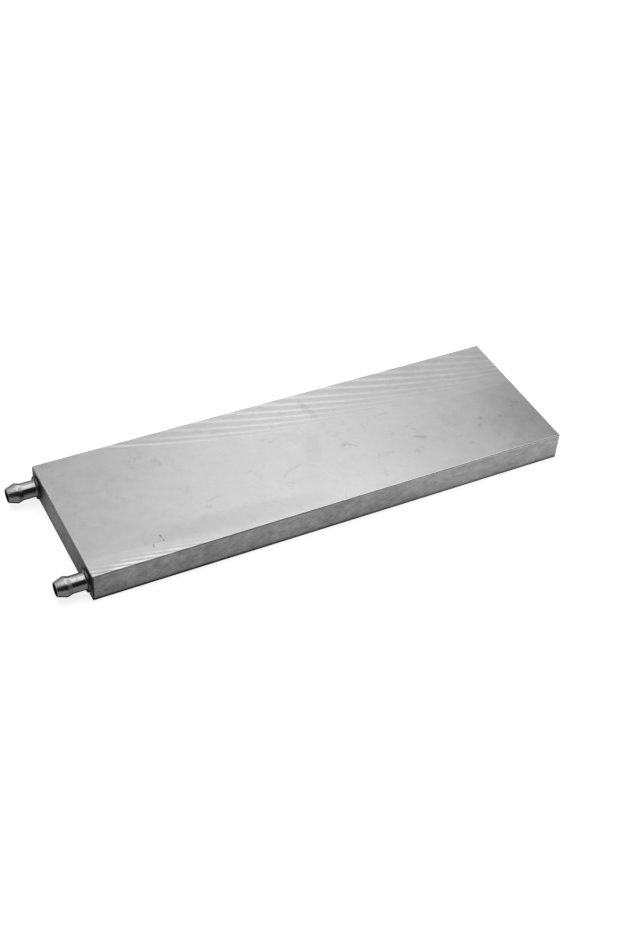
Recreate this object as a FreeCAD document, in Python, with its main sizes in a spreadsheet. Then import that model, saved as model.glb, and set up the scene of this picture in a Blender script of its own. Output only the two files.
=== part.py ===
import FreeCAD, Part
import math
import os

import Sketcher

# Liquid cooling cold plate: a flat aluminium block that carries heat from what is
# clamped to its top face into coolant, which runs through a serpentine channel inside.
#
# Frame: millimetres, +Z up. The origin is the centre of the plate's underside,
# X runs along the plate and both hose nozzles stand out of its -X end.
#
# The pieces, as they come apart on a bench:
#   plate_body          block milled from one billet, channel and ports included
#   cover_plate         thin lid brazed into the underside, which closes the channel
#   inlet_nozzle        turned hose barb, its shank bonded into the port at -Y
#   outlet_nozzle       the same barb in the port at +Y
#   inlet_seal_ring     rubber ring squeezed under the inlet nozzle's collar
#   outlet_seal_ring    the same ring under the outlet nozzle's collar

SIZES = [
    # Plate
    ("plate_length", 250.0, "along X"),
    ("plate_width", 80.0, "along Y"),
    ("plate_thickness", 15.0, "underside to cooling face"),
    ("edge_chamfer", 0.4, "deburred outer edges"),
    # Coolant channel: a pocket milled from the underside, with ribs left standing in it
    ("channel_depth", 8.0, "above the lid"),
    ("pass_pairs", 3, "out-and-back runs between the ports"),
    ("rib_width", 4.0, "between neighbouring passes"),
    ("side_wall", 3.0, "long side to the outer pass"),
    ("port_end_wall", 15.0, "solid metal that holds the nozzles' shanks"),
    ("far_end_wall", 6.0, "solid metal past the far bends"),
    ("cutter_corner", 3.0, "radius that the end mill leaves in the corners"),
    # Lid and its seat
    ("lid_thickness", 3.0, "cover plate, flush with the underside"),
    ("lid_ledge", 1.5, "brazed seat around the channel"),
    ("lid_gap", 0.1, "braze gap around the lid's edge"),
    # Ports in the end face
    ("port_edge_distance", 7.0, "long side to port axis"),
    ("shank_diameter", 9.6, "part of a nozzle that is bonded into its port"),
    ("shank_length", 9.5, "end face to the shank's inner end"),
    ("shank_end_gap", 1.0, "shank to the floor of its hole"),
    ("bond_gap", 0.05, "shank to port, radial"),
    ("feed_diameter", 7.8, "drilling from the port into the channel"),
    ("counterbore_depth", 0.7, "seat of the seal ring"),
    ("counterbore_gap", 0.05, "seal ring to counterbore wall"),
    # Seal ring
    ("seal_inner_radius", 4.9, "inner edge"),
    ("seal_width", 1.2, "inner to outer edge"),
    ("seal_thickness", 1.0, "squeezed between counterbore and collar"),
    ("seal_bevel", 0.3, "bevels of its outer edge"),
    # Nozzle, from the collar out to the tip
    ("bore_diameter", 5.9, "right through, for the coolant"),
    ("collar_radius", 5.6, "round flange that squeezes the ring"),
    ("collar_thickness", 0.9, "flange, along the axis"),
    ("collar_fillet", 0.7, "flange to stem"),
    ("stem_radius", 4.2, "where the hose clip grips"),
    ("barb_radius", 4.9, "over the ridge, for an 8 mm hose"),
    ("barb_start", 7.9, "end face to the foot of the ridge's back slope"),
    ("barb_back", 2.0, "back slope, along the axis"),
    ("barb_land", 0.9, "cylindrical top of the ridge"),
    ("barb_round", 0.45, "rounding where the ridge meets its slopes"),
    ("tip_reach", 15.1, "end face to the nozzle's tip"),
    ("tip_radius", 3.3, "outside of the tip"),
    ("tip_bevel", 0.15, "bevel on the tip's outer edge"),
    ("shank_chamfer", 0.7, "lead-in of the shank"),
]

doc = FreeCAD.newDocument("cold_plate")
sheet = doc.addObject("Spreadsheet::Sheet", "Sizes")
for row, (alias, size, note) in enumerate(SIZES, start=1):
    sheet.set(f"A{row}", alias)
    sheet.set(f"B{row}", str(size))
    sheet.set(f"C{row}", note)
    sheet.setAlias(f"B{row}", alias)
doc.recompute()

# Places that follow from the sizes, as expressions on the sheet.
PORT_FACE = "(-Sizes.plate_length / 2)"
PLAIN_FACE = "(Sizes.plate_length / 2)"
PORT_Y = "(Sizes.plate_width / 2 - Sizes.port_edge_distance)"
PORT_Z = "(Sizes.lid_thickness + Sizes.channel_depth / 2)"
CHANNEL_START = f"({PORT_FACE} + Sizes.port_end_wall)"
CHANNEL_END = f"({PLAIN_FACE} - Sizes.far_end_wall)"
CHANNEL_Y = "(Sizes.plate_width / 2 - Sizes.side_wall)"
RIB_RADIUS = "(Sizes.rib_width / 2)"
PASS_PITCH = f"((2 * {CHANNEL_Y} + Sizes.rib_width) / (2 * Sizes.pass_pairs))"
PASS_WIDTH = f"({PASS_PITCH} - Sizes.rib_width)"
FIRST_RIB_Y = f"({PASS_PITCH} - {RIB_RADIUS} - {CHANNEL_Y})"
SEAT_START = f"({CHANNEL_START} - Sizes.lid_ledge)"
SEAT_END = f"({CHANNEL_END} + Sizes.lid_ledge)"
SEAT_Y = f"({CHANNEL_Y} + Sizes.lid_ledge)"
SEAT_CORNER = "(Sizes.cutter_corner + Sizes.lid_ledge)"
SEAL_OUTER = "(Sizes.seal_inner_radius + Sizes.seal_width)"
COUNTERBORE_RADIUS = f"({SEAL_OUTER} + Sizes.counterbore_gap)"
COLLAR_BACK = "(Sizes.seal_thickness - Sizes.counterbore_depth)"
COLLAR_FRONT = f"({COLLAR_BACK} + Sizes.collar_thickness)"
SHANK_RADIUS = "(Sizes.shank_diameter / 2)"
PORT_RADIUS = f"({SHANK_RADIUS} + Sizes.bond_gap)"
FEED_RADIUS = "(Sizes.feed_diameter / 2)"
BORE_RADIUS = "(Sizes.bore_diameter / 2)"
CLOSE = 1e-6


def number(expression):
    """Plain number that an expression on the sheet gives now."""
    result = sheet.evalExpression(expression)
    return float(getattr(result, "Value", result))


def new_body(name):
    """Body whose label names its file."""
    body = doc.addObject("PartDesign::Body", name)
    body.Label = name
    return body


def origin_part(body, role):
    """Origin plane or axis of a body, by its role."""
    return next(part for part in body.Origin.OriginFeatures if part.Role == role)


def new_sketch(body, name, plane, offset="0"):
    """Sketch on an origin plane, moved along the plane's normal by an expression."""
    sketch = body.newObject("Sketcher::SketchObject", name)
    sketch.AttachmentSupport = [(origin_part(body, plane), "")]
    sketch.MapMode = "FlatFace"
    sketch.setExpression("AttachmentOffset.Base.z", offset)
    return sketch


def dimension(sketch, kind, where, expression, name):
    """Named dimension of a sketch, bound to an expression on the sheet."""
    sketch.addConstraint(Sketcher.Constraint(kind, *where, number(expression)))
    index = sketch.ConstraintCount - 1
    sketch.renameConstraint(index, name)
    sketch.setExpression(f"Constraints.{name}", expression)


def place_point(sketch, geometry, end, across, up, name):
    """Hold a point of a sketch by its two distances from the sketch's origin."""
    dimension(sketch, "DistanceX", (-1, 1, geometry, end), across, f"{name}_across")
    dimension(sketch, "DistanceY", (-1, 1, geometry, end), up, f"{name}_up")


def flat_vector(across, up):
    """Point of a sketch at two expressions."""
    return FreeCAD.Vector(number(across), number(up), 0)


def outline(sketch, corners):
    """Closed outline of straight lines through named corners."""
    points = [flat_vector(across, up) for _, across, up in corners]
    sides = []
    for start, end in zip(points, points[1:] + points[:1]):
        sides.append(sketch.addGeometry(Part.LineSegment(start, end)))
    for before, side, (name, across, up) in zip(sides[-1:] + sides, sides, corners):
        sketch.addConstraint(Sketcher.Constraint("Coincident", before, 2, side, 1))
        place_point(sketch, side, 1, across, up, name)


def rectangle(sketch, left, right, half_height):
    """Rectangle that is centred on the sketch's horizontal axis."""
    low = f"(-{half_height})"
    outline(sketch, [("left_low", left, low), ("right_low", right, low),
                     ("right_high", right, half_height), ("left_high", left, half_height)])


def arc(centre, radius, first_angle, last_angle):
    """Arc of a circle, counter-clockwise, angles in degrees."""
    circle = Part.Circle(centre, FreeCAD.Vector(0, 0, 1), radius)
    return Part.ArcOfCircle(circle, math.radians(first_angle), math.radians(last_angle))


def half_round_bar(sketch, square_end, round_centre, middle, radius):
    """Bar along X with one square end and one round end, centred on a given Y."""
    centre = flat_vector(round_centre, middle)
    size = number(radius)
    outwards = 1 if number(round_centre) > number(square_end) else -1
    first_angle = -90 * outwards
    bow = sketch.addGeometry(arc(centre, size, first_angle, first_angle + 180))
    far = [sketch.getPoint(bow, end) for end in (1, 2)]
    root = [FreeCAD.Vector(number(square_end), point.y, 0) for point in far]
    upper = sketch.addGeometry(Part.LineSegment(far[1], root[1]))
    back = sketch.addGeometry(Part.LineSegment(root[1], root[0]))
    lower = sketch.addGeometry(Part.LineSegment(root[0], far[0]))
    for one, following in ((bow, upper), (lower, bow)):
        sketch.addConstraint(Sketcher.Constraint("Tangent", one, 2, following, 1))
    for one, following in ((upper, back), (back, lower)):
        sketch.addConstraint(Sketcher.Constraint("Coincident", one, 2, following, 1))
    for level in (upper, lower):
        sketch.addConstraint(Sketcher.Constraint("Horizontal", level))
    sketch.addConstraint(Sketcher.Constraint("Vertical", back))
    place_point(sketch, bow, 3, round_centre, middle, "round_centre")
    dimension(sketch, "DistanceX", (-1, 1, back, 1), square_end, "square_end")
    dimension(sketch, "Radius", (bow,), radius, "radius")


def pad(body, name, sketch, height):
    """Solid pulled up out of a sketch, along its normal."""
    feature = body.newObject("PartDesign::Pad", name)
    feature.Profile = sketch
    feature.setExpression("Length", height)
    doc.recompute()
    return feature


def must_change(feature, before, sign):
    """Stop unless a feature added material (sign 1) or took some away (sign -1)."""
    doc.recompute()
    if not sign * (feature.Shape.Volume - before) > CLOSE:
        raise RuntimeError(f"{feature.Label} leaves the solid as it was")


def pocket(body, name, sketch, depth):
    """Cut from a sketch up into the body, along the sketch's normal."""
    before = body.Shape.Volume
    feature = body.newObject("PartDesign::Pocket", name)
    feature.Profile = sketch
    feature.Reversed = True
    feature.setExpression("Length", depth)
    must_change(feature, before, -1)


def repeat_across(body, name, original, count, spacing):
    """Copies of a pad along Y."""
    before = body.Shape.Volume
    pattern = body.newObject("PartDesign::LinearPattern", name)
    pattern.Originals = [original]
    pattern.Direction = (origin_part(body, "Y_Axis"), [""])
    pattern.Mode = "Spacing"
    pattern.setExpression("Offset", spacing)
    pattern.setExpression("Occurrences", count)
    body.Tip = pattern
    must_change(pattern, before, 1)


def revolve(body, name, sketch):
    """Solid turned about the body's X axis."""
    feature = body.newObject("PartDesign::Revolution", name)
    feature.Profile = sketch
    feature.ReferenceAxis = (origin_part(body, "X_Axis"), [""])
    feature.Angle = 360
    doc.recompute()


def dress(body, kind, name, edges, property_name, size):
    """Fillet or chamfer on the edges of the body's last feature."""
    base = body.Tip
    feature = body.newObject(f"PartDesign::{kind}", name)
    feature.Base = (base, edges)
    feature.setExpression(property_name, size)
    doc.recompute()


def upright_edges(body, x_values, y_values=None):
    """Edges along Z, found by their X and, where given, by their distance from the XZ plane."""
    wanted_x = [number(x) for x in x_values]
    wanted_y = [number(y) for y in y_values or []]
    found = []
    for index, edge in enumerate(body.Shape.Edges, start=1):
        ends = [vertex.Point for vertex in edge.Vertexes]
        if len(ends) != 2 or math.hypot(ends[0].x - ends[1].x, ends[0].y - ends[1].y) > CLOSE:
            continue
        at_x = any(abs(ends[0].x - x) < CLOSE for x in wanted_x)
        at_y = not wanted_y or any(abs(abs(ends[0].y) - y) < CLOSE for y in wanted_y)
        if at_x and at_y:
            found.append(f"Edge{index}")
    return found


def turned_edges(body, places):
    """Circular edges about the X axis, each found by its X and its radius."""
    wanted = [(number(x), number(radius)) for x, radius in places]
    found = []
    for index, edge in enumerate(body.Shape.Edges, start=1):
        if not isinstance(edge.Curve, Part.Circle):
            continue
        for x, radius in wanted:
            if abs(edge.Curve.Center.x - x) < CLOSE and abs(edge.Curve.Radius - radius) < CLOSE:
                found.append(f"Edge{index}")
    return found


def add_ribs(body, name, rooted_at, free_end, first_y, count):
    """Every second rib: each grows out of one end wall and stops a pass's width short of the other."""
    section = new_sketch(body, f"{name}_outline", "XY_Plane", "Sizes.lid_thickness")
    toward_root = "1" if number(rooted_at) > number(free_end) else "-1"
    tip_centre = f"({free_end} + {toward_root} * {RIB_RADIUS})"
    half_round_bar(section, rooted_at, tip_centre, first_y, RIB_RADIUS)
    one_rib = pad(body, name, section, "Sizes.channel_depth")
    repeat_across(body, f"{name}s", one_rib, count, f"(2 * {PASS_PITCH})")


def drill_both_ports(body, name, radius, depth):
    """The same flat-bottomed hole on both port axes, from the end face inwards."""
    before = body.Shape.Volume
    centres = new_sketch(body, f"{name}_centres", "YZ_Plane", PORT_FACE)
    for side, across in (("inlet", f"(-{PORT_Y})"), ("outlet", PORT_Y)):
        circle = Part.Circle(flat_vector(across, PORT_Z), FreeCAD.Vector(0, 0, 1), number(radius))
        mark = centres.addGeometry(circle)
        place_point(centres, mark, 3, across, PORT_Z, side)
        dimension(centres, "Radius", (mark,), radius, f"{side}_radius")
    doc.recompute()
    holes = body.newObject("PartDesign::Hole", name)
    holes.Profile = centres
    doc.recompute()
    holes.Reversed = True
    holes.ThreadType = "None"
    holes.DepthType = "Dimension"
    holes.DrillPoint = "Flat"
    holes.setExpression("Diameter", f"2 * {radius}")
    holes.setExpression("Depth", depth)
    must_change(holes, before, -1)
    return holes


def make_plate_body():
    """Block with the channel and the lid's seat milled from below, and two ports."""
    body = new_body("plate_body")
    blank = new_sketch(body, "blank_outline", "XY_Plane")
    rectangle(blank, PORT_FACE, PLAIN_FACE, "(Sizes.plate_width / 2)")
    pad(body, "blank", blank, "Sizes.plate_thickness")
    all_edges = [f"Edge{index}" for index in range(1, len(body.Shape.Edges) + 1)]
    dress(body, "Chamfer", "deburred_edges", all_edges, "Size", "Sizes.edge_chamfer")

    seat = new_sketch(body, "lid_seat_outline", "XY_Plane")
    rectangle(seat, SEAT_START, SEAT_END, SEAT_Y)
    pocket(body, "lid_seat", seat, "Sizes.lid_thickness")
    seat_edges = upright_edges(body, [SEAT_START, SEAT_END], [SEAT_Y])
    dress(body, "Fillet", "lid_seat_corners", seat_edges, "Radius", SEAT_CORNER)

    channel = new_sketch(body, "channel_outline", "XY_Plane", "Sizes.lid_thickness")
    rectangle(channel, CHANNEL_START, CHANNEL_END, CHANNEL_Y)
    pocket(body, "channel_pocket", channel, "Sizes.channel_depth")
    far_tip = f"({CHANNEL_END} - {PASS_WIDTH})"
    add_ribs(body, "port_rib", CHANNEL_START, far_tip, FIRST_RIB_Y, "Sizes.pass_pairs")
    port_tip = f"({CHANNEL_START} + {PASS_WIDTH})"
    second_rib_y = f"({FIRST_RIB_Y} + {PASS_PITCH})"
    add_ribs(body, "far_rib", CHANNEL_END, port_tip, second_rib_y, "Sizes.pass_pairs - 1")
    corner_edges = upright_edges(body, [CHANNEL_START, CHANNEL_END])
    dress(body, "Fillet", "cutter_corners", corner_edges, "Radius", "Sizes.cutter_corner")

    ports = drill_both_ports(body, "ports", PORT_RADIUS, "Sizes.shank_length + Sizes.shank_end_gap")
    ports.HoleCutType = "Counterbore"
    ports.HoleCutCustomValues = True
    ports.setExpression("HoleCutDiameter", f"2 * {COUNTERBORE_RADIUS}")
    ports.setExpression("HoleCutDepth", "Sizes.counterbore_depth")
    doc.recompute()
    drill_both_ports(body, "feeds", FEED_RADIUS, "Sizes.port_end_wall + Sizes.cutter_corner")
    return body


def make_cover_plate():
    """Lid that lies in its seat, flush with the underside."""
    body = new_body("cover_plate")
    left = f"({SEAT_START} + Sizes.lid_gap)"
    right = f"({SEAT_END} - Sizes.lid_gap)"
    half_width = f"({SEAT_Y} - Sizes.lid_gap)"
    sketch = new_sketch(body, "lid_outline", "XY_Plane")
    rectangle(sketch, left, right, half_width)
    pad(body, "lid", sketch, "Sizes.lid_thickness")
    corner_edges = upright_edges(body, [left, right])
    dress(body, "Fillet", "lid_corners", corner_edges, "Radius", f"({SEAT_CORNER} - Sizes.lid_gap)")
    return body


def place_at_port(body, side):
    """Put a turned piece on its port's axis, where the axis meets the end face."""
    body.setExpression("Placement.Base.x", PORT_FACE)
    body.setExpression("Placement.Base.y", f"{side} * {PORT_Y}")
    body.setExpression("Placement.Base.z", PORT_Z)


def make_nozzle(name, side):
    """Hose barb turned about X: tip at -X, shank at +X, end face of the plate at 0."""
    body = new_body(name)
    land_start = "(-Sizes.barb_start - Sizes.barb_back)"
    land_end = f"({land_start} - Sizes.barb_land)"
    tip = "(-Sizes.tip_reach)"
    section = new_sketch(body, "half_section", "XZ_Plane")
    outline(section, [
        ("tip_inside", tip, BORE_RADIUS),
        ("bore_end", "Sizes.shank_length", BORE_RADIUS),
        ("shank_end", "Sizes.shank_length", f"({SHANK_RADIUS} - Sizes.shank_chamfer)"),
        ("shank_lead", "(Sizes.shank_length - Sizes.shank_chamfer)", SHANK_RADIUS),
        ("shank_start", f"(-{COLLAR_BACK})", SHANK_RADIUS),
        ("collar_back", f"(-{COLLAR_BACK})", "Sizes.collar_radius"),
        ("collar_front", f"(-{COLLAR_FRONT})", "Sizes.collar_radius"),
        ("stem_foot", f"(-{COLLAR_FRONT})", "Sizes.stem_radius"),
        ("stem_end", "(-Sizes.barb_start)", "Sizes.stem_radius"),
        ("ridge_back", land_start, "Sizes.barb_radius"),
        ("ridge_front", land_end, "Sizes.barb_radius"),
        ("tip_outside", tip, "Sizes.tip_radius"),
    ])
    revolve(body, "turned_blank", section)

    ridge = [(land_start, "Sizes.barb_radius"), (land_end, "Sizes.barb_radius")]
    dress(body, "Fillet", "ridge_rounding", turned_edges(body, ridge), "Radius", "Sizes.barb_round")
    foot = [(f"(-{COLLAR_FRONT})", "Sizes.stem_radius")]
    dress(body, "Fillet", "stem_foot_fillet", turned_edges(body, foot), "Radius", "Sizes.collar_fillet")
    lip = [(tip, "Sizes.tip_radius")]
    dress(body, "Chamfer", "tip_edge_bevel", turned_edges(body, lip), "Size", "Sizes.tip_bevel")
    place_at_port(body, side)
    return body


def make_seal_ring(name, side):
    """Rubber ring squeezed flat between the counterbore's floor and the collar."""
    body = new_body(name)
    floor = "Sizes.counterbore_depth"
    collar = f"(-{COLLAR_BACK})"
    inner = "Sizes.seal_inner_radius"
    bevel = "Sizes.seal_bevel"
    section = new_sketch(body, "half_section", "XZ_Plane")
    outline(section, [
        ("floor_inner", floor, inner),
        ("floor_outer", floor, f"({SEAL_OUTER} - {bevel})"),
        ("edge_outer_deep", f"({floor} - {bevel})", SEAL_OUTER),
        ("edge_outer_shallow", f"({collar} + {bevel})", SEAL_OUTER),
        ("collar_outer", collar, f"({SEAL_OUTER} - {bevel})"),
        ("collar_inner", collar, inner),
    ])
    revolve(body, "squeezed_ring", section)
    place_at_port(body, side)
    return body


bodies = [make_plate_body(), make_cover_plate()]
for flow, side_of_plate in (("inlet", "-1"), ("outlet", "1")):
    bodies.append(make_nozzle(f"{flow}_nozzle", side_of_plate))
    bodies.append(make_seal_ring(f"{flow}_seal_ring", side_of_plate))
doc.recompute()

for thing in doc.Objects:
    if "Invalid" in thing.State or "Error" in thing.State:
        raise RuntimeError(f"{thing.Label} failed: {thing.State}")
for body in bodies:
    if body.Shape.isNull() or not body.Shape.isValid() or len(body.Shape.Solids) != 1:
        raise RuntimeError(f"{body.Label} is not one valid solid")

os.makedirs("parts", exist_ok=True)
for body in bodies:
    body.Shape.exportStep(f"parts/{body.Label}.step")
    box = body.Shape.optimalBoundingBox(False)
    low = f"({box.XMin:.2f}, {box.YMin:.2f}, {box.ZMin:.2f})"
    high = f"({box.XMax:.2f}, {box.YMax:.2f}, {box.ZMax:.2f})"
    print(f"{body.Label:18}{body.Shape.Volume:12.1f} mm3 from {low} to {high}")
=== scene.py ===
# %% [markdown]
# # Dressing a liquid cooling cold plate
#
# A cold plate is a flat block of aluminium with a coolant channel milled inside it. Hot
# devices are clamped to its broad face, and two barbed nozzles take the hoses. Its shape comes
# ready made from the CAD model, so this lesson is mostly about metal: how a cutter marks a
# milled face, how a turned part shines, and how a rubber ring differs from both.
#
# The CAD model is loaded first. It is the fixed frame: its parts are never moved or reshaped,
# and every piece that is added here is placed by its corners.

import bmesh
import bpy
import math
from mathutils import Matrix, Vector


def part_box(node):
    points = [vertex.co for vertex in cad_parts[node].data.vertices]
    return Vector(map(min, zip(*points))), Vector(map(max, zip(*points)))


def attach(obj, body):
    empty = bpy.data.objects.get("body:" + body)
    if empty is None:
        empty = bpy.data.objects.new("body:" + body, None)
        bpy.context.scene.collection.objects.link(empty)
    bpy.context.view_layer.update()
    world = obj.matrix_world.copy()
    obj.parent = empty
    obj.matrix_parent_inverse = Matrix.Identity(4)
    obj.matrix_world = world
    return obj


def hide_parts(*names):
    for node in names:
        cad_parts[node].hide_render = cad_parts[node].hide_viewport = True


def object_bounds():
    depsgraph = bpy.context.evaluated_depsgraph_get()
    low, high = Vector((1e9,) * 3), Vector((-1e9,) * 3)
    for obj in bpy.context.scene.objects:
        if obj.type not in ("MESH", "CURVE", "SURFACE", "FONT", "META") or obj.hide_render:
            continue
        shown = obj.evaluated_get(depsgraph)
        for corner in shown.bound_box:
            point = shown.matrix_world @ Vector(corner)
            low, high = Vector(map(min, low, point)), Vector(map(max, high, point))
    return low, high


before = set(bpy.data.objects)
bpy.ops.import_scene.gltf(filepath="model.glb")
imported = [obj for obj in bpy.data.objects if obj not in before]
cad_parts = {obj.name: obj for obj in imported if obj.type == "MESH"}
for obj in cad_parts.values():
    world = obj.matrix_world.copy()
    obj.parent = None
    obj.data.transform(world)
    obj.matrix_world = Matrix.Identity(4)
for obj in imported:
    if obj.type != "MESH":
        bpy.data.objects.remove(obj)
cad_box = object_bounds()
MM = 0.001
plate_low, plate_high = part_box("plate_body")
print("plate, mm:", [round(side / MM, 2) for side in plate_high - plate_low])

# %% [markdown]
# ## The camera
#
# A product camera is easiest to aim by three angles. `bearing` turns it about the upright
# axis, `dip` points it down at the plate, and `roll` tips the view slightly. Its axes are
# built from those angles, which avoids guessing Euler values. A long lens keeps the plate's
# edges nearly parallel.

# %% Set up the camera
CAMERA_PLACE = Vector((-0.27618, -0.47665, 0.49735))
CAMERA_BEARING = math.radians(30.502)
CAMERA_DIP = math.radians(41.779)
CAMERA_ROLL = math.radians(5.116)
CAMERA_LENS = 57.844
SENSOR_WIDTH = 36
NEAREST_SEEN = 0.01


def aimed_axes(bearing, dip, roll):
    """A camera's right, up and back directions, as the columns of a matrix."""
    level = math.cos(dip)
    forward = Vector((math.sin(bearing) * level, math.cos(bearing) * level, -math.sin(dip)))
    flat_right = Vector((math.cos(bearing), -math.sin(bearing), 0))
    flat_up = flat_right.cross(forward)
    right = flat_right * math.cos(roll) + flat_up * math.sin(roll)
    up = flat_up * math.cos(roll) - flat_right * math.sin(roll)
    return Matrix((right, up, -forward)).transposed().to_4x4()


def add_object(name, data):
    """Object in the scene that shows a mesh, lamp or camera."""
    thing = bpy.data.objects.new(name, data)
    bpy.context.scene.collection.objects.link(thing)
    return thing


camera_data = bpy.data.cameras.new("product_camera")
camera_data.lens = CAMERA_LENS
camera_data.sensor_width = SENSOR_WIDTH
camera_data.sensor_fit = "AUTO"
camera_data.clip_start = NEAREST_SEEN
camera = add_object("product_camera", camera_data)
turn = aimed_axes(CAMERA_BEARING, CAMERA_DIP, CAMERA_ROLL)
camera.matrix_world = Matrix.Translation(CAMERA_PLACE) @ turn
bpy.context.scene.camera = camera
bpy.context.scene.view_settings.view_transform = "Standard"
print("camera to plate, mm:", round(CAMERA_PLACE.length / MM))

# %% [markdown]
# ## Writing node trees as sums
#
# Materials and Geometry Nodes are both graphs of small sums. Wiring them one link at a time
# hides the thought behind them, so a socket is wrapped in a class with Python's own operators:
# `1 - mask * 0.3` adds a Multiply node and a Subtract node by itself.


# %% Wrap a socket
class Number:
    """A socket that can be used in a Python expression."""

    def __init__(self, nodes, socket):
        self.nodes = nodes
        self.socket = socket

    def __add__(self, other):
        return self.nodes.sum("ADD", self, other)

    def __sub__(self, other):
        return self.nodes.sum("SUBTRACT", self, other)

    def __rsub__(self, other):
        return self.nodes.sum("SUBTRACT", other, self)

    def __mul__(self, other):
        return self.nodes.sum("MULTIPLY", self, other)

    def __truediv__(self, other):
        return self.nodes.sum("DIVIDE", self, other)

    def __pow__(self, other):
        return self.nodes.sum("POWER", self, other)

    __radd__ = __add__
    __rmul__ = __mul__


print("a wrapped socket knows + - * / and **")

# %% [markdown]
# ## One way to add any node
#
# Every node comes from one method, which takes the node's settings first, since they can
# change its sockets, and then what the sockets hold. Beside it stand the few sums that have no
# operator. The trial at the end shows what one line of Python becomes.


# %% Wrap a tree
class Nodes:
    """A shader or geometry node tree that is written from the top down."""

    def __init__(self, tree):
        self.tree = tree

    def add(self, kind, settings=None, sockets=None):
        """Any node: its settings are set first, then its sockets by name or number."""
        node = self.tree.nodes.new(kind)
        for name, setting in (settings or {}).items():
            setattr(node, name, setting)
        for key, value in (sockets or {}).items():
            socket = self.find(node.inputs, key)
            if isinstance(value, Number):
                self.tree.links.new(value.socket, socket)
            else:
                socket.default_value = value
        return node

    def find(self, sockets, key):
        """Socket by its number, or the one in use by its name."""
        if isinstance(key, int):
            return sockets[key]
        return next(socket for socket in sockets if socket.enabled and socket.name == key)

    def get(self, kind, settings=None, sockets=None, out=0):
        """Any node, and one of its outputs."""
        node = self.add(kind, settings, sockets)
        return Number(self, self.find(node.outputs, out))

    def sum(self, operation, *values):
        """A Math node on one to three values."""
        return self.get("ShaderNodeMath", {"operation": operation}, dict(enumerate(values)))

    def most(self, first, second):
        return self.sum("MAXIMUM", first, second)

    def size(self, value):
        """The value without its sign."""
        return self.sum("ABSOLUTE", value)

    def rise(self, value, start, end):
        """0 before start, 1 after end, and a smooth rise between them."""
        return self.get("ShaderNodeMapRange", {"interpolation_type": "SMOOTHSTEP"},
                        {"Value": value, "From Min": start, "From Max": end})

    def fall(self, value, start, end):
        """1 before start, 0 after end, and a smooth fall between them."""
        return 1 - self.rise(value, start, end)


trial = Nodes(bpy.data.node_groups.new("trial", "ShaderNodeTree"))
faded = 1 - trial.get("ShaderNodeTexNoise", out="Fac") * 0.3
print("1 - noise * 0.3 ends in", faded.socket.node.operation, "of", len(trial.tree.nodes), "nodes")
bpy.data.node_groups.remove(trial.tree)

# %% [markdown]
# ## Metal finishes
#
# All the finishes start with the object's own coordinates in millimetres, so that a mark is as
# large as the tool that made it, and end in one Principled shader. Between the two, noise at
# three sizes gives the slow cloudiness of handled aluminium, the mottling of the metal's grain
# and a fine tooth that breaks up reflections.


# %% Start a finish
class Finish(Nodes):
    """A material with the object's coordinates in millimetres at hand."""

    def __init__(self, name):
        self.material = bpy.data.materials.new(name)
        self.material.use_nodes = True
        super().__init__(self.material.node_tree)
        self.tree.nodes.clear()
        self.place = self.get("ShaderNodeTexCoord", out="Object")
        axes = self.add("ShaderNodeSeparateXYZ", sockets={0: self.place})
        self.x, self.y, self.z = (Number(self, axis) / MM for axis in axes.outputs)

    def noise(self, grain, detail=2, stretch=(1, 1, 1), shift=0, slant=0, swirl=0):
        """Noise about 0 whose lumps are grain millimetres, times the stretch of each axis.

        Slant leans the lumps in the XZ plane, by degrees. Swirl curls them."""
        mapped = self.get("ShaderNodeMapping", {"vector_type": "TEXTURE"},
                          {"Vector": self.place, "Location": [shift * grain * MM] * 3,
                           "Rotation": (0, math.radians(slant), 0),
                           "Scale": [grain * MM * factor for factor in stretch]})
        speckle = self.get("ShaderNodeTexNoise", None,
                           {"Vector": mapped, "Scale": 1, "Detail": detail, "Roughness": 0.55,
                            "Distortion": swirl}, out="Fac")
        return speckle - 0.5

    def end(self, surface):
        """Make a shader the material's surface."""
        self.add("ShaderNodeOutputMaterial", None, {"Surface": surface})
        print(self.material.name, "has", len(self.tree.nodes), "nodes")
        return self.material

    def finish(self, sockets, height, depth):
        """End in a Principled shader. Height in 0 to 1 becomes a bump of depth millimetres."""
        sockets["Normal"] = self.get("ShaderNodeBump", None,
                                     {"Strength": 1, "Distance": depth * MM, "Height": height})
        return self.end(self.get("ShaderNodeBsdfPrincipled", None, sockets))


# %% [markdown]
# ## How a fly cutter marks a face
#
# The broad face is skimmed by a wide cutter that turns while the table moves along the plate.
# Each turn leaves one faint arc, a circle of the cutter's radius, and the next arc has moved on
# by the feed. So one number says which arc a point is on: its own X plus the arc's sagitta
# there. The distance to the nearest whole number, after dividing by the feed, makes the lines
# repeat. A hand-fed table never moves quite evenly, so a slip moves every arc past one place
# by a millimetre or three.


# %% Arcs of a wide cutter
SLIP_REACH = 1.5


def cutter_arcs(finish, radius, centre_y, first, feed, width, slips=()):
    """Thin lines, 1 on each arc. Returns them with the running number of the arc.

    Their width is a share of the feed, from 0 to 0.5, and is also their mean."""
    across = finish.y - centre_y
    travel = finish.x + finish.sum("SQRT", finish.most(radius * radius - across * across, 0))
    for place, slip in slips:
        travel = travel - finish.rise(travel, place - SLIP_REACH, place + SLIP_REACH) * slip
    count = (travel - first) / feed
    off_line = finish.size(count - finish.sum("ROUND", count))
    return finish.fall(off_line, 0, width), count


# %% [markdown]
# ## Marks of handling
#
# Aluminium shows every touch. A mark is an ellipse with soft edges, given by its middle, its
# half length and half width in millimetres, its angle and its strength. Noise pushes the
# coordinates about before the ellipse is drawn, which gives a smudge its ragged outline. The
# same function draws nicks, with less push.


# %% Smudges and nicks
RAGGED_GRAIN = 3.2


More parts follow.
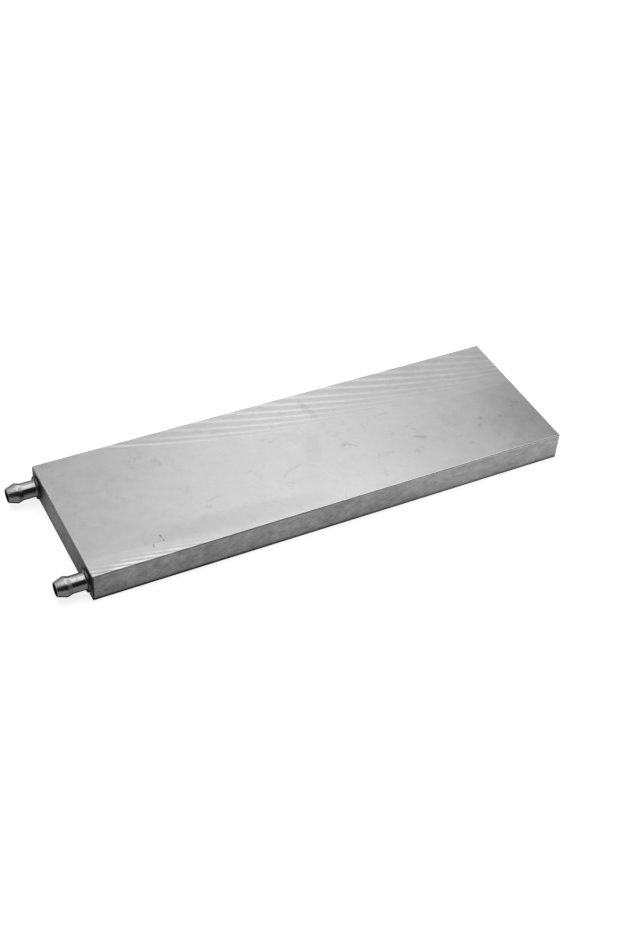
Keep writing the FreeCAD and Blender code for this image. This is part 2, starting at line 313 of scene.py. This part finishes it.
def handling_marks(finish, marks, raggedness):
    """The strongest of a list of marks at each point, from 0 to 1."""
    pushed_x = finish.x + finish.noise(RAGGED_GRAIN, detail=3, shift=41) * raggedness
    pushed_y = finish.y + finish.noise(RAGGED_GRAIN, detail=3, shift=57) * raggedness
    strongest = 0
    for x, y, length, width, angle, strength in marks:
        turn = math.radians(angle)
        along = (pushed_x - x) * math.cos(turn) + (pushed_y - y) * math.sin(turn)
        across = (pushed_y - y) * math.cos(turn) - (pushed_x - x) * math.sin(turn)
        reach = (along / length) ** 2 + (across / width) ** 2
        strongest = finish.most(strongest, finish.fall(reach, 0.1, 1) * strength)
    return strongest


# %% [markdown]
# ## Where the cooling face is marked
#
# The broad face is where the hot device lies. Two runs of the cutter show on it: one bit
# deeper along the back and the other at the front corner. Three nicks sit near the inlet, and
# fingers left the smudges, which are short, thin and turned every way. The last smudge is a
# long dull streak. Each row holds a mark's X, Y, half length, half width, angle and strength.

# %% Places of the marks
BACK_ARCS = {"radius": 557, "centre_y": 564, "first": 99.5, "feed": 16.9, "width": 0.36,
             "slips": [(106, -3.4), (207, 2.6)]}
FRONT_ARCS = {"radius": 836, "centre_y": 779, "first": 60.4, "feed": 10.85, "width": 0.5}
NICKS = [
    (-87.5, -27.8, 1.6, 0.6, 100, 1),
    (-87.3, -30.8, 1.0, 0.6, 80, 0.7),
    (-92.6, -32.4, 1.6, 0.6, 72, 0.8),
]
SMUDGES = [
    (20.7, -4.0, 3.4, 1.2, 30, 1.0),
    (24.0, -5.5, 4.2, 1.2, -55, 0.9),
    (46.5, -6.5, 2.6, 1.6, 30, 0.5),
    (35.5, 3.5, 3.6, 1.0, 80, 0.7),
    (48.0, 9.0, 7.5, 1.0, 8, 0.7),
    (58.5, -13.5, 4.0, 1.5, -25, 0.9),
    (51.7, -22.5, 2.8, 1.6, 60, 0.9),
    (38.0, -18.0, 3.4, 2.2, 0, 0.4),
    (30.0, -29.5, 4.2, 1.2, 75, 0.6),
    (15.5, 26.0, 10.5, 2.6, 100, 0.6),
    (5.0, 0.0, 14.0, 5.5, 64, 0.35),
    (-15.0, -12.0, 5.5, 1.1, 40, 0.7),
    (-8.5, -9.5, 4.5, 1.0, 5, 0.5),
    (-29.0, -7.0, 5.5, 1.0, -60, 0.5),
    (-55.0, -14.8, 5.8, 1.1, 12, 0.7),
    (-59.0, -18.5, 2.0, 1.5, 0, 0.8),
    (-78.0, 25.5, 3.4, 1.0, 30, 0.8),
    (-69.0, 19.0, 4.4, 1.8, 100, 0.5),
    (91.0, -18.0, 3.4, 1.0, 65, 0.8),
    (94.0, -12.5, 1.8, 1.0, 50, 1.0),
    (-52.0, -30.0, 60.0, 8.0, -4, 0.5),
]
print("marks on the cooling face:", len(SMUDGES), "smudges and", len(NICKS), "nicks")

# %% [markdown]
# ## The cooling face
#
# Arcs, steps and marks are laid on one plain grey with noise of three sizes, and each only
# shifts its tone a little. So wide a mirror never has one tone in a real room: the far corner
# and the plain end fall off, the near edge gains, and the port end and front edges catch a thin
# highlight. These are painted light and shade, which takes fewer lamps but also means that
# they stay when the object is turned.

# %% Cooling face
SIDE_Y = plate_high.y / MM
PORT_END_X = plate_low.x / MM
FACE_TONE = 0.56
FACE_ROUGHNESS = 0.42
PASS_SLOPE = 0.077
FRONT_MIDDLE = 0.24


def cooling_face(finish):
    """Tone and roughness of the broad face that the hot device lies on."""
    clouds = finish.noise(30, detail=3)
    mottle = finish.noise(7, detail=5, shift=3)
    grain = finish.noise(0.9)
    from_back = SIDE_Y - finish.y
    from_front = finish.y + SIDE_Y
    from_port_end = finish.x - PORT_END_X

    arcs, count = cutter_arcs(finish, **BACK_ARCS)
    first_bite = finish.fall(count, 0.2, 0.6) * finish.fall(from_back, 3, 14)
    strength = (1 + first_bite * 2.4 + finish.rise(count, 6, 7) * 0.3) * (1 + clouds * 1.2)
    reach = finish.fall(from_back - finish.rise(count, 2, 7) * 5, 12, 31)
    back_marks = (arcs - BACK_ARCS["width"]) * finish.rise(count, -0.4, -0.15) * reach * strength

    front_arcs, front_count = cutter_arcs(finish, **FRONT_ARCS)
    bite = finish.fall(from_front, 1, 7.2) * finish.fall(front_count, 0, 6.5)
    front_marks = (front_arcs * (1 + mottle * 3) - FRONT_MIDDLE) * bite

    across_pass = from_front + from_port_end * PASS_SLOPE
    first_pass = finish.fall(across_pass, 10.6, 11.8) * finish.fall(from_port_end, 25, 75)
    last_pass = finish.fall(from_back, 33, 34) * finish.rise(from_port_end, 200, 222)
    # Painted light along the near edge and painted shade in the far corner; the other two are
    # steps where a pass ends.
    painted_near_edge_light = finish.fall(from_front, 4, 24) * finish.rise(from_port_end, 80, 150)
    pass_steps_and_near_light = first_pass * 0.045 + last_pass * 0.035 + painted_near_edge_light * 0.035
    painted_far_corner_shade = finish.rise(from_port_end, 205, 250) * finish.rise(from_back, 5, 70)

    patches = finish.rise(finish.noise(16, detail=2, shift=13), -0.02, 0.1)
    fingered = finish.rise(finish.noise(4, detail=3, shift=21, swirl=1.2), 0.02, 0.2) * patches
    smudges = handling_marks(finish, SMUDGES, raggedness=5)
    nicks = handling_marks(finish, NICKS, raggedness=2)
    # A thin lighter line along the port end and front edges is a painted highlight.
    painted_edge_glint = finish.most(finish.fall(from_port_end, 0.5, 1.0),
                            finish.fall(from_front, 0.4, 1.2) * 0.6)
    tone = (FACE_TONE + clouds * 0.075 + mottle * 0.165 + grain * 0.05
            + back_marks * 0.054 + front_marks * 0.36 + pass_steps_and_near_light
            - painted_far_corner_shade * 0.14 - fingered * 0.05 - smudges * 0.095 - nicks * 0.3
            + painted_edge_glint * 0.1)
    # The face darkens toward the plain end: painted shade.
    painted_plain_end_falloff = finish.rise(from_port_end, 90, 235) * 0.09
    return tone * (1 - painted_plain_end_falloff), FACE_ROUGHNESS + mottle * 0.12 - back_marks * 0.04


print(f"cooling face: {2 * SIDE_Y:.0f} mm wide, from X {PORT_END_X:.0f} mm")

# %% [markdown]
# ## The sides
#
# The sides are only sawn and brushed, so they are blotchier than the face, with streaks that
# lean the way the brush went, and darker partly for that and partly by painted shade. Painted
# shade also darkens the bottom edge, the port end and round both ports, most of it on the inlet
# side, with a painted shadow round each collar. A streak is noise that is stretched along one
# axis and then leaned over, which costs less than drawing scratches and never repeats.

# %% Brushed sides
PLATE_TOP = plate_high.z / MM
nozzle_low, nozzle_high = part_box("outlet_nozzle")
PORT_Y = (nozzle_low.y + nozzle_high.y) / 2 / MM
PORT_Z = (nozzle_low.z + nozzle_high.z) / 2 / MM
# Low base tone of the sides: partly their sawn finish, partly painted shade.
SAWN_AND_SHADED_SIDE_TONE = 0.2
BRUSH_LEAN = -24
CHAMFER_REACH = 0.45


def from_port_axis(finish):
    """Distance from the nearer port's axis, in millimetres."""
    aside = finish.size(finish.y) - PORT_Y
    above = finish.z - PORT_Z
    return finish.sum("SQRT", aside * aside + above * above)


def brushed_side(finish):
    """Tone of the sawn and brushed sides with their painted shade, and the brushing, which is also
    felt.
    """
    brushing = finish.noise(0.8, detail=3, stretch=(6, 1, 1), shift=5, slant=BRUSH_LEAN)
    blotches = finish.noise(2.6, detail=5, stretch=(1.6, 1, 1), shift=7)
    clouds = finish.noise(22, detail=2, shift=9)
    grain = finish.noise(0.8, shift=2)
    # Painted light and shade: the tone rises along X and upward and falls near the port end's
    # corner.
    along = finish.rise(finish.x, PORT_END_X, -PORT_END_X)
    up = finish.rise(finish.z, 0, PLATE_TOP * 0.7)
    # Painted shade darkens the bottom edge.
    painted_bottom_shade = finish.fall(finish.z, 0.9, 2.6) * (0.95 - along * 0.35)
    tone = (SAWN_AND_SHADED_SIDE_TONE + along * 0.133 + up * 0.06 + clouds * 0.17 + blotches * 0.29
            + brushing * 0.22 + grain * 0.15)
    near_corner = finish.fall(finish.x, PORT_END_X + 4, PORT_END_X + 24)
    tone = tone * (1 - painted_bottom_shade) * (1 - near_corner * 0.14)

    # Painted shade: the whole port end is darker, with a painted shadow round each collar, a wider
    # shade round each port and more of it on the inlet side.
    from_port = from_port_axis(finish)
    at_port_end = finish.fall(finish.x, PORT_END_X + CHAMFER_REACH,
                              PORT_END_X + CHAMFER_REACH * 2)
    painted_collar_shadow = finish.fall(from_port, 6.3, 8.2) * 0.85
    painted_port_shade = finish.fall(from_port, 7, 22) * 0.45
    painted_inlet_side_shade = finish.fall(finish.y, -SIDE_Y, 0.6 * SIDE_Y) * 0.58
    port_end_unshaded = (1 - painted_collar_shadow) * (1 - painted_port_shade) * (1 - painted_inlet_side_shade)
    return tone * (1 - at_port_end * (1 - port_end_unshaded * 0.76)), brushing


print(f"ports: {PORT_Y:.2f} mm to each side, {PORT_Z:.2f} mm up")

# %% [markdown]
# ## The underside and its lid
#
# The channel is closed by a thin lid, brazed into a seat in the underside. After brazing, lid
# and block were face milled together, so both share one pattern: fine arcs of a smaller cutter,
# hardly wider than the plate. The metal beside the seam is stained by the flux of the braze.

# %% Face-milled underside
LID_LOW, LID_HIGH = [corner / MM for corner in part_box("cover_plate")]
MILL_ARCS = {"radius": 62, "centre_y": 4, "first": 0, "feed": 1.6, "width": 0.5}
UNDERSIDE_TONE = 0.52
UNDERSIDE_ROUGHNESS = 0.36
MILLED_DEPTH = 0.02


def face_milled(finish):
    """Tone and roughness of the underside, for the block and the lid alike."""
    arcs, _ = cutter_arcs(finish, **MILL_ARCS)
    mottle = finish.noise(5, detail=4, shift=17)
    to_end = finish.size(finish.x - (LID_LOW.x + LID_HIGH.x) / 2) - (LID_HIGH.x - LID_LOW.x) / 2
    to_side = finish.size(finish.y) - LID_HIGH.y
    from_seam = finish.size(finish.most(to_end, to_side))
    stain = finish.fall(from_seam + mottle * 6, 0.2, 2.6)
    tone = (UNDERSIDE_TONE + (arcs - MILL_ARCS["width"]) * 0.07 + mottle * 0.14
            + finish.noise(0.8) * 0.04 - stain * 0.16)
    return tone, UNDERSIDE_ROUGHNESS + mottle * 0.12 + stain * 0.2


def lid_aluminium():
    finish = Finish("lid_aluminium")
    tone, rough = face_milled(finish)
    return finish.finish({"Base Color": tone, "Metallic": 1.0, "Roughness": rough},
                         finish.noise(0.9), depth=MILLED_DEPTH)


print("lid, mm:", [round(side, 2) for side in LID_HIGH - LID_LOW])

# %% [markdown]
# ## One material for the whole block
#
# The block is one solid, so its faces are told apart by where a point lies: high up is the
# cooling face, at the very bottom the underside, and all between is side. Each mask fades
# within the chamfer. A painted highlight brightens the long upper edges, more so toward the plain
# end.

# %% Dress the block and the lid
CHAMFER = 0.4
SIDE_ROUGHNESS = 0.54


def milled_aluminium():
    finish = Finish("fly_cut_aluminium")
    top_tone, top_rough = cooling_face(finish)
    side_tone, brushing = brushed_side(finish)
    bottom_tone, bottom_rough = face_milled(finish)
    on_top = finish.rise(finish.z, PLATE_TOP - CHAMFER_REACH, PLATE_TOP - CHAMFER_REACH / 2)
    on_bottom = finish.fall(finish.z, 0.02, 0.06)
    on_side = 1 - on_top - on_bottom
    along = finish.rise(finish.x, PORT_END_X * 0.4, -PORT_END_X * 0.4)
    far_half = finish.rise(finish.x, 30, 100)
    edge = PLATE_TOP + SIDE_Y - CHAMFER
    # Painted highlight on the long upper chamfers.
    painted_chamfer_highlight = finish.rise(finish.size(finish.y) + finish.z, edge - 0.3, edge - 0.1) * along
    tone = (painted_chamfer_highlight * (0.25 + far_half * 0.2) + side_tone * on_side + top_tone * on_top
            + bottom_tone * on_bottom)
    rough = on_side * SIDE_ROUGHNESS + top_rough * on_top + bottom_rough * on_bottom
    height = finish.noise(0.9) * 0.5 + brushing * on_side
    return finish.finish({"Base Color": tone, "Metallic": 1.0, "Roughness": rough}, height,
                         depth=MILLED_DEPTH)


def dress(node, material):
    """Give a CAD node, whose shape stays, a better material."""
    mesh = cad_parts[node].data
    mesh.materials.clear()
    mesh.materials.append(material)
    print(node, "is finished in", material.name)


lid_finish = lid_aluminium()
dress("plate_body", milled_aluminium())
dress("cover_plate", lid_finish)

# %% [markdown]
# ## Trees for shapes
#
# A Geometry Nodes tree takes its sizes as named inputs, so that one tree serves several
# pieces. All trees here begin and end alike: inputs come in at the top, and at the bottom the
# instances are made real and a material is set.


# %% Begin and end a tree
def number_of(nodes, node, name):
    return Number(nodes, nodes.find(node.outputs, name))


def new_tree(name, inputs):
    """Geometry Nodes tree with named inputs. Returns it, its nodes and the inputs' sockets."""
    tree = bpy.data.node_groups.new(name, "GeometryNodeTree")
    tree.is_modifier = True
    for label, kind in inputs:
        tree.interface.new_socket(label, in_out="INPUT", socket_type="NodeSocket" + kind)
    tree.interface.new_socket("Made", in_out="OUTPUT", socket_type="NodeSocketGeometry")
    nodes = Nodes(tree)
    given = nodes.add("NodeGroupInput")
    return tree, nodes, [number_of(nodes, given, label) for label, _ in inputs]


def end_tree(tree, nodes, shape, metal):
    """Close a tree: whole geometry in one material."""
    whole = nodes.get("GeometryNodeRealizeInstances", None, {"Geometry": shape})
    dressed = nodes.get("GeometryNodeSetMaterial", None, {"Geometry": whole, "Material": metal})
    nodes.add("NodeGroupOutput", None, {"Made": dressed})
    print(tree.name, "has", len(tree.nodes), "nodes")
    return tree


# %% [markdown]
# ## A lathe made of nodes
#
# A nozzle is cut on a lathe, and so is the groove that a rubber ring is moulded in: one profile
# goes round one axis. Spin in mesh code could do it, but a node tree keeps the profile and the
# corner roundings as inputs. The profile is a small closed loop of edges. Mesh to Curve and
# Fillet Curve round its corners by an attribute that each corner carries, a grid gets one row
# for each point of the rounded profile, and Set Position wraps the grid around the axis.

# %% Lathe tree
FILLET_STEPS = 6
WELD_REACH = 1e-7
CRISP_BEND = math.radians(25)


def lathe_tree():
    """Closed profile to turned solid: X runs along the axis and Y is the radius."""
    tree, nodes, given = new_tree("lathe", (("Profile", "Geometry"), ("Steps", "Int"),
                                            ("Axis", "Vector"), ("Metal", "Material")))
    profile, steps, axis, metal = given
    loop = nodes.get("GeometryNodeMeshToCurve", None, {"Mesh": profile})
    rounding = nodes.get("GeometryNodeInputNamedAttribute", {"data_type": "FLOAT"},
                         {"Name": "rounding"})
    loop = nodes.get("GeometryNodeFilletCurve", {"mode": "POLY"},
                     {"Curve": loop, "Count": FILLET_STEPS, "Radius": rounding,
                      "Limit Radius": True})
    points = nodes.get("GeometryNodeAttributeDomainSize", {"component": "CURVE"},
                       {"Geometry": loop}, "Point Count")
    grid = nodes.get("GeometryNodeMeshGrid", None,
                     {"Vertices X": points + 1, "Vertices Y": steps + 1}, "Mesh")
    index = nodes.get("GeometryNodeInputIndex")
    row = nodes.sum("FLOOR", (index + 0.5) / (steps + 1))
    angle = (index - row * (steps + 1)) / steps * math.tau
    here = nodes.get("GeometryNodeInputPosition")
    corner = nodes.sum("MODULO", row, points)
    on_profile = nodes.get("GeometryNodeSampleIndex", {"data_type": "FLOAT_VECTOR"},
                           {"Geometry": loop, "Value": here, "Index": corner})
    part = nodes.add("ShaderNodeSeparateXYZ", None, {0: on_profile})
    along, radius = number_of(nodes, part, "X"), number_of(nodes, part, "Y")
    sideways, upward = radius * nodes.sum("COSINE", angle), radius * nodes.sum("SINE", angle)
    place = nodes.get("ShaderNodeCombineXYZ", None, {"X": along, "Y": sideways, "Z": upward})
    turned = nodes.get("GeometryNodeSetPosition", None,
                       {"Geometry": grid, "Position": place, "Offset": axis})
    turned = nodes.get("GeometryNodeMergeByDistance", None,
                       {"Geometry": turned, "Distance": WELD_REACH})
    bend = nodes.get("GeometryNodeInputMeshEdgeAngle", None, None, "Unsigned Angle")
    crisp = nodes.get("FunctionNodeCompare", {"operation": "GREATER_THAN"},
                      {0: bend, 1: CRISP_BEND}, "Result")
    turned = nodes.get("GeometryNodeSetShadeSmooth", {"domain": "FACE"},
                       {"Geometry": turned, "Shade Smooth": True})
    turned = nodes.get("GeometryNodeSetShadeSmooth", {"domain": "EDGE"},
                       {"Geometry": turned, "Selection": crisp, "Shade Smooth": False})
    return end_tree(tree, nodes, turned, metal)


lathe = lathe_tree()

# %% [markdown]
# ## From a profile to a plain mesh
#
# The modifier's inputs are set before Blender first works the tree out, each by its socket's
# identifier. The finished shape is then copied into a plain mesh, because a kept model has no
# live modifiers, and its volume and open edges are printed: a negative volume would mean that
# it is inside out, and an open edge that it isn't closed.


# %% Run a tree and keep its mesh
def set_inputs(modifier, inputs):
    """Put values into a Geometry Nodes modifier by the names of the tree's inputs."""
    for item in modifier.node_group.interface.items_tree:
        if item.in_out == "INPUT" and item.name in inputs:
            modifier[item.identifier] = inputs[item.name]


def grown(name, seed_mesh, tree, inputs):
    """Plain mesh object that a tree makes out of a seed mesh."""
    seed = add_object(name, seed_mesh)
    modifier = seed.modifiers.new("nodes", "NODES")
    modifier.node_group = tree
    set_inputs(modifier, inputs)
    depsgraph = bpy.context.evaluated_depsgraph_get()
    mesh = bpy.data.meshes.new_from_object(seed.evaluated_get(depsgraph))
    seed.modifiers.clear()
    seed.data = mesh
    mesh.name = name
    shape = bmesh.new()
    shape.from_mesh(mesh)
    open_edges = sum(not edge.is_manifold for edge in shape.edges)
    volume = shape.calc_volume(signed=True) / MM ** 3
    print(f"{name}: {len(mesh.polygons)} faces, {volume:.1f} mm3, {open_edges} open edges")
    shape.free()
    return seed


def profile_mesh(name, corners):
    """Closed loop of edges: each corner's place along the axis, radius and rounding, in mm."""
    mesh = bpy.data.meshes.new(name)
    count = len(corners)
    edges = [(one, (one + 1) % count) for one in range(count)]
    mesh.from_pydata([(along * MM, radius * MM, 0) for along, radius, _ in corners], edges, [])
    rounding = mesh.attributes.new("rounding", "FLOAT", "POINT")
    for corner, (_, _, size) in enumerate(corners):
        rounding.data[corner].value = size * MM
    return mesh


# %% [markdown]
# ## The braze seam
#
# Molten braze fills the gap between lid and block and leaves a fine bead all round. A bead
# follows a path, so its tree draws the path, a rectangle with filleted corners, and sweeps a
# small circle along it. The path is the middle of the gap, taken from the lid's own box. The
# bead lies just above the underside, so it never reaches below the block.

# %% Sweep the bead round the lid
SEAM_GAP = 0.1
LID_CORNER = 4.4
BEAD_RADIUS = 0.12
BEAD_LIFT = 0.02
BEAD_SIDES = 10
BEND_STEPS = 12


def seam_tree():
    """Bead of round section along a rectangle with filleted corners."""
    tree, nodes, given = new_tree("braze_seam", (
        ("Length", "Float"), ("Width", "Float"), ("Corner", "Float"), ("Bead", "Float"),
        ("Centre", "Vector"), ("Metal", "Material")))
    length, width, corner, bead, centre, metal = given
    path = nodes.get("GeometryNodeCurvePrimitiveQuadrilateral", {"mode": "RECTANGLE"},
                     {"Width": length, "Height": width})
    path = nodes.get("GeometryNodeFilletCurve", {"mode": "POLY"},
                     {"Curve": path, "Count": BEND_STEPS, "Radius": corner})
    ring = nodes.get("GeometryNodeCurvePrimitiveCircle", {"mode": "RADIUS"},
                     {"Resolution": BEAD_SIDES, "Radius": bead})
    tube = nodes.get("GeometryNodeCurveToMesh", None, {"Curve": path, "Profile Curve": ring})
    tube = nodes.get("GeometryNodeSetPosition", None, {"Geometry": tube, "Offset": centre})
    return end_tree(tree, nodes, tube, metal)


bead_middle = (LID_LOW + LID_HIGH) / 2
bead_length, bead_width = (LID_HIGH - LID_LOW + Vector((SEAM_GAP, SEAM_GAP, 0)))[:2]
bead_centre = (bead_middle.x * MM, bead_middle.y * MM, (BEAD_RADIUS + BEAD_LIFT) * MM)
seam = grown("braze_seam", bpy.data.meshes.new("braze_seam"), seam_tree(), {
    "Length": bead_length * MM, "Width": bead_width * MM,
    "Corner": (LID_CORNER + SEAM_GAP / 2) * MM, "Bead": BEAD_RADIUS * MM,
    "Centre": bead_centre, "Metal": lid_finish})
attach(seam, "root")

# %% [markdown]
# ## The nozzles
#
# Each nozzle is one turned piece: a shank that is bonded into the block, a round collar that
# squeezes the rubber ring, a stem for the hose clip and one barb with a rounded ridge. Each
# profile is a list of corners: the place along the axis from the block's end, the radius and
# the rounding, all in millimetres. The roundings are what the plain solids lack.

# %% Profiles of nozzle and seal ring
NOZZLE = [
    (-15.1, 2.95, 0.15),
    (9.5, 2.95, 0),
    (9.5, 4.1, 0),
    (8.8, 4.8, 0),
    (-0.3, 4.8, 0),
    (-0.3, 5.6, 0.12),
    (-1.2, 5.6, 0.2),
    (-1.2, 4.2, 0.65),
    (-8.0, 4.2, 0.8),
    (-10.2, 4.9, 0.6),
    (-10.9, 4.9, 0.6),
    (-15.1, 3.5, 0.2),
]
BORE_RADIUS = NOZZLE[0][1]
SEAL = [(-0.3, 4.9, 0.42), (0.7, 4.9, 0.42), (0.7, 6.1, 0.42), (-0.3, 6.1, 0.42)]
print("nozzle stands out", -NOZZLE[0][0], "mm and its bore is", 2 * BORE_RADIUS, "mm wide")

# %% [markdown]
# ## Bright turned metal and black rubber
#
# A lathe leaves very fine grooves that follow the tool round and round, so they depend only on
# the place along the axis. The bore is painted nearly black as shade. Painted shade also leaves
# only the top bright: the flanks are dull and the underside is nearly black. How low a point
# is, from -1 on top to 1 underneath, is all that this shade needs to know. A little more of it
# sits on the slope behind the ridge and on the collar. The rubber is plain, matt and
# slightly dusty.

# %% Turned metal and rubber
TOOL_FEED = 0.16
# Near-black tone of the bore: painted shade in the recess.
SHADED_BORE_TONE = 0.02
SKIN_TONE = 0.6
BORE_ROUGHNESS = 0.55
EDGE_TINT = (0.35, 0.35, 0.35, 1)
GROOVE_DEPTH = 0.002
RUBBER_TONE = 0.018
RUBBER_DEPTH = 0.01


def turned_metal():
    finish = Finish("turned_metal")
    grooves = finish.sum("SINE", finish.x * (math.tau / TOOL_FEED))
    drift = finish.noise(2.2, detail=3, stretch=(0.6, 2.5, 2.5))
    skin = finish.noise(0.5)
    radius = from_port_axis(finish)
    outside = finish.rise(radius, BORE_RADIUS + 0.15, BORE_RADIUS + 0.35)
    lowness = (PORT_Z - finish.z) / radius
    # Painted shade: flanks dull and underside nearly black, more on the rear slope of the ridge
    # and on the collar.
    painted_low_shade = finish.rise(lowness, -0.5, -0.3) * 0.76 + finish.rise(lowness, 0.2, 0.4) * 0.2
    on_slope = (finish.rise(finish.x, PORT_END_X - 10.4, PORT_END_X - 9.8)
                * finish.fall(finish.x, PORT_END_X - 8.4, PORT_END_X - 7.8))
    painted_low_shade = finish.most(painted_low_shade, finish.rise(lowness, -0.84, -0.7) * (0.72 + on_slope * 0.1))
    at_collar = finish.rise(finish.x, PORT_END_X - 1.9, PORT_END_X - 1.1)
    shine = (SKIN_TONE + drift * 0.25) * (1 - painted_low_shade) * (1 - at_collar * 0.7)
    tone = SHADED_BORE_TONE + outside * shine
    rough = BORE_ROUGHNESS - outside * (0.28 + drift * 0.2 + skin * 0.1) + at_collar * 0.12
    return finish.finish({"Base Color": tone, "Metallic": 1.0, "Roughness": rough,
                          "Specular Tint": EDGE_TINT},
                         grooves * 0.5 + skin * 0.3, depth=GROOVE_DEPTH)


def seal_rubber():
    finish = Finish("seal_rubber")
    dust = finish.noise(0.7, detail=3)
    return finish.finish({"Base Color": RUBBER_TONE + dust * 0.012, "Roughness": 0.6 + dust * 0.2},
                         dust, depth=RUBBER_DEPTH)


finishes = {"nozzle": turned_metal(), "seal_ring": seal_rubber()}

# %% [markdown]
# ## Four pieces from one lathe
#
# Both nozzles and both rings run through the same tree. Its inputs place each piece on the
# axis of the CAD part that it stands in for, read from that part's own box.

# %% Turn the nozzles and the seal rings
TURNED_STEPS = 160
profiles = {"nozzle": NOZZLE, "seal_ring": SEAL}
for side in ("inlet", "outlet"):
    for part in ("nozzle", "seal_ring"):
        node = f"{side}_{part}"
        low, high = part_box(node)
        axis = (plate_low.x, (low.y + high.y) / 2, (low.z + high.z) / 2)
        piece = grown(f"{node}_turned", profile_mesh(node, profiles[part]), lathe,
                      {"Steps": TURNED_STEPS, "Axis": axis, "Metal": finishes[part]})
        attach(piece, "root")
        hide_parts(node)

# %% [markdown]
# ## The floor
#
# A plain pale floor stands for a studio table. It is a matt sheet that also glows a little
# where the camera looks at it or the metal mirrors it, which whitens the ground and still
# leaves the object's shadow. Only camera, glossy and transmission rays carry the glow, so it
# shows in the metal and brightens nothing that is matt.

# %% Floor
FLOOR_SIZE = 12
FLOOR_GREY = (0.65, 0.65, 0.65, 1)
FLOOR_DROP = 0.0002
SEEN_GLOW = 0.8
MIRRORED_GLOW = 0.62
WHITE = (1, 1, 1, 1)


def pale_floor():
    finish = Finish("pale_floor")
    diffuse = finish.get("ShaderNodeBsdfDiffuse", None, {"Color": FLOOR_GREY})
    path = finish.add("ShaderNodeLightPath")
    seen, mirrored, refracted = [Number(finish, path.outputs[f"Is {kind} Ray"])
                                 for kind in ("Camera", "Glossy", "Transmission")]
    lift = finish.most(seen * SEEN_GLOW, finish.most(mirrored, refracted) * MIRRORED_GLOW)
    glow = finish.get("ShaderNodeEmission", None, {"Color": WHITE, "Strength": lift})
    return finish.end(finish.get("ShaderNodeAddShader", None, {0: diffuse, 1: glow}))


half = FLOOR_SIZE / 2
corners = [(-half, -half, 0), (half, -half, 0), (half, half, 0), (-half, half, 0)]
floor_mesh = bpy.data.meshes.new("floor")
floor_mesh.from_pydata(corners, [], [(0, 1, 2, 3)])
floor_mesh.transform(Matrix.Translation((0, 0, cad_box[0][2] - FLOOR_DROP)))
floor_mesh.materials.append(pale_floor())
add_object("floor", floor_mesh)

# %% [markdown]
# ## The lamps
#
# Bare metal shows little but what it mirrors, so each lamp is placed for its reflection. One
# softbox hangs behind the plate, where the cooling face mirrors it toward the camera as a broad
# highlight. A wide and weak one overhead lights the face from straight above.

# %% Softboxes
def softbox(name, place, target, size, power):
    """Rectangular area lamp that faces a target; size is along X, then across."""
    lamp_data = bpy.data.lights.new(name, "AREA")
    lamp_data.shape = "RECTANGLE"
    lamp_data.size, lamp_data.size_y = size
    lamp_data.energy = power
    lamp = add_object(name, lamp_data)
    away = Vector(place) - Vector(target)
    turned = away.normalized().to_track_quat("Z", "Y").to_matrix().to_4x4()
    lamp.matrix_world = Matrix.Translation(place) @ turned
    print(f"{name}: {power} W from {away.length:.2f} m")


softbox("back_softbox", place=(0.30, 0.53, 0.62), target=(0, -0.02, 0.015),
        size=(0.28, 0.24), power=0.52)
softbox("top_softbox", place=(0.08, 0.02, 1.0), target=(0.08, 0.02, 0),
        size=(1.4, 0.92), power=4.7)

# %% [markdown]
# ## The room
#
# The room is the rest of what the metal mirrors. It is dark in front, which puts the black band
# on the nozzles, and paler on the upper far wall and at both sides, so that the plate still
# looks like metal from behind. Each wall is a smooth step of the direction that a ray takes.
# The camera itself sees plain white.

# %% Room
DARK_FRONT = 0.025
FAR_WALL = 0.53
SIDE_WALLS = 0.4

world = bpy.data.worlds.new("room")
bpy.context.scene.world = world
world.use_nodes = True
room = Nodes(world.node_tree)
room.tree.nodes.clear()
heading = room.get("ShaderNodeTexCoord", out="Generated")
axes = room.add("ShaderNodeSeparateXYZ", None, {0: heading})
sideways, behind, upward = [Number(room, axis) for axis in axes.outputs]
far_wall = room.rise(behind, 0.1, 0.6) * room.rise(upward, 0.2, 0.5)
side_walls = room.rise(room.size(sideways), 0.48, 0.75) * room.fall(behind, -0.2, 0.2)
strength = DARK_FRONT + far_wall * FAR_WALL + side_walls * SIDE_WALLS
seen = room.get("ShaderNodeLightPath", out="Is Camera Ray")
background = room.get("ShaderNodeBackground", None,
                      {"Color": WHITE, "Strength": room.most(strength, seen)})
room.add("ShaderNodeOutputWorld", None, {"Surface": background})
print("room nodes:", len(room.tree.nodes))
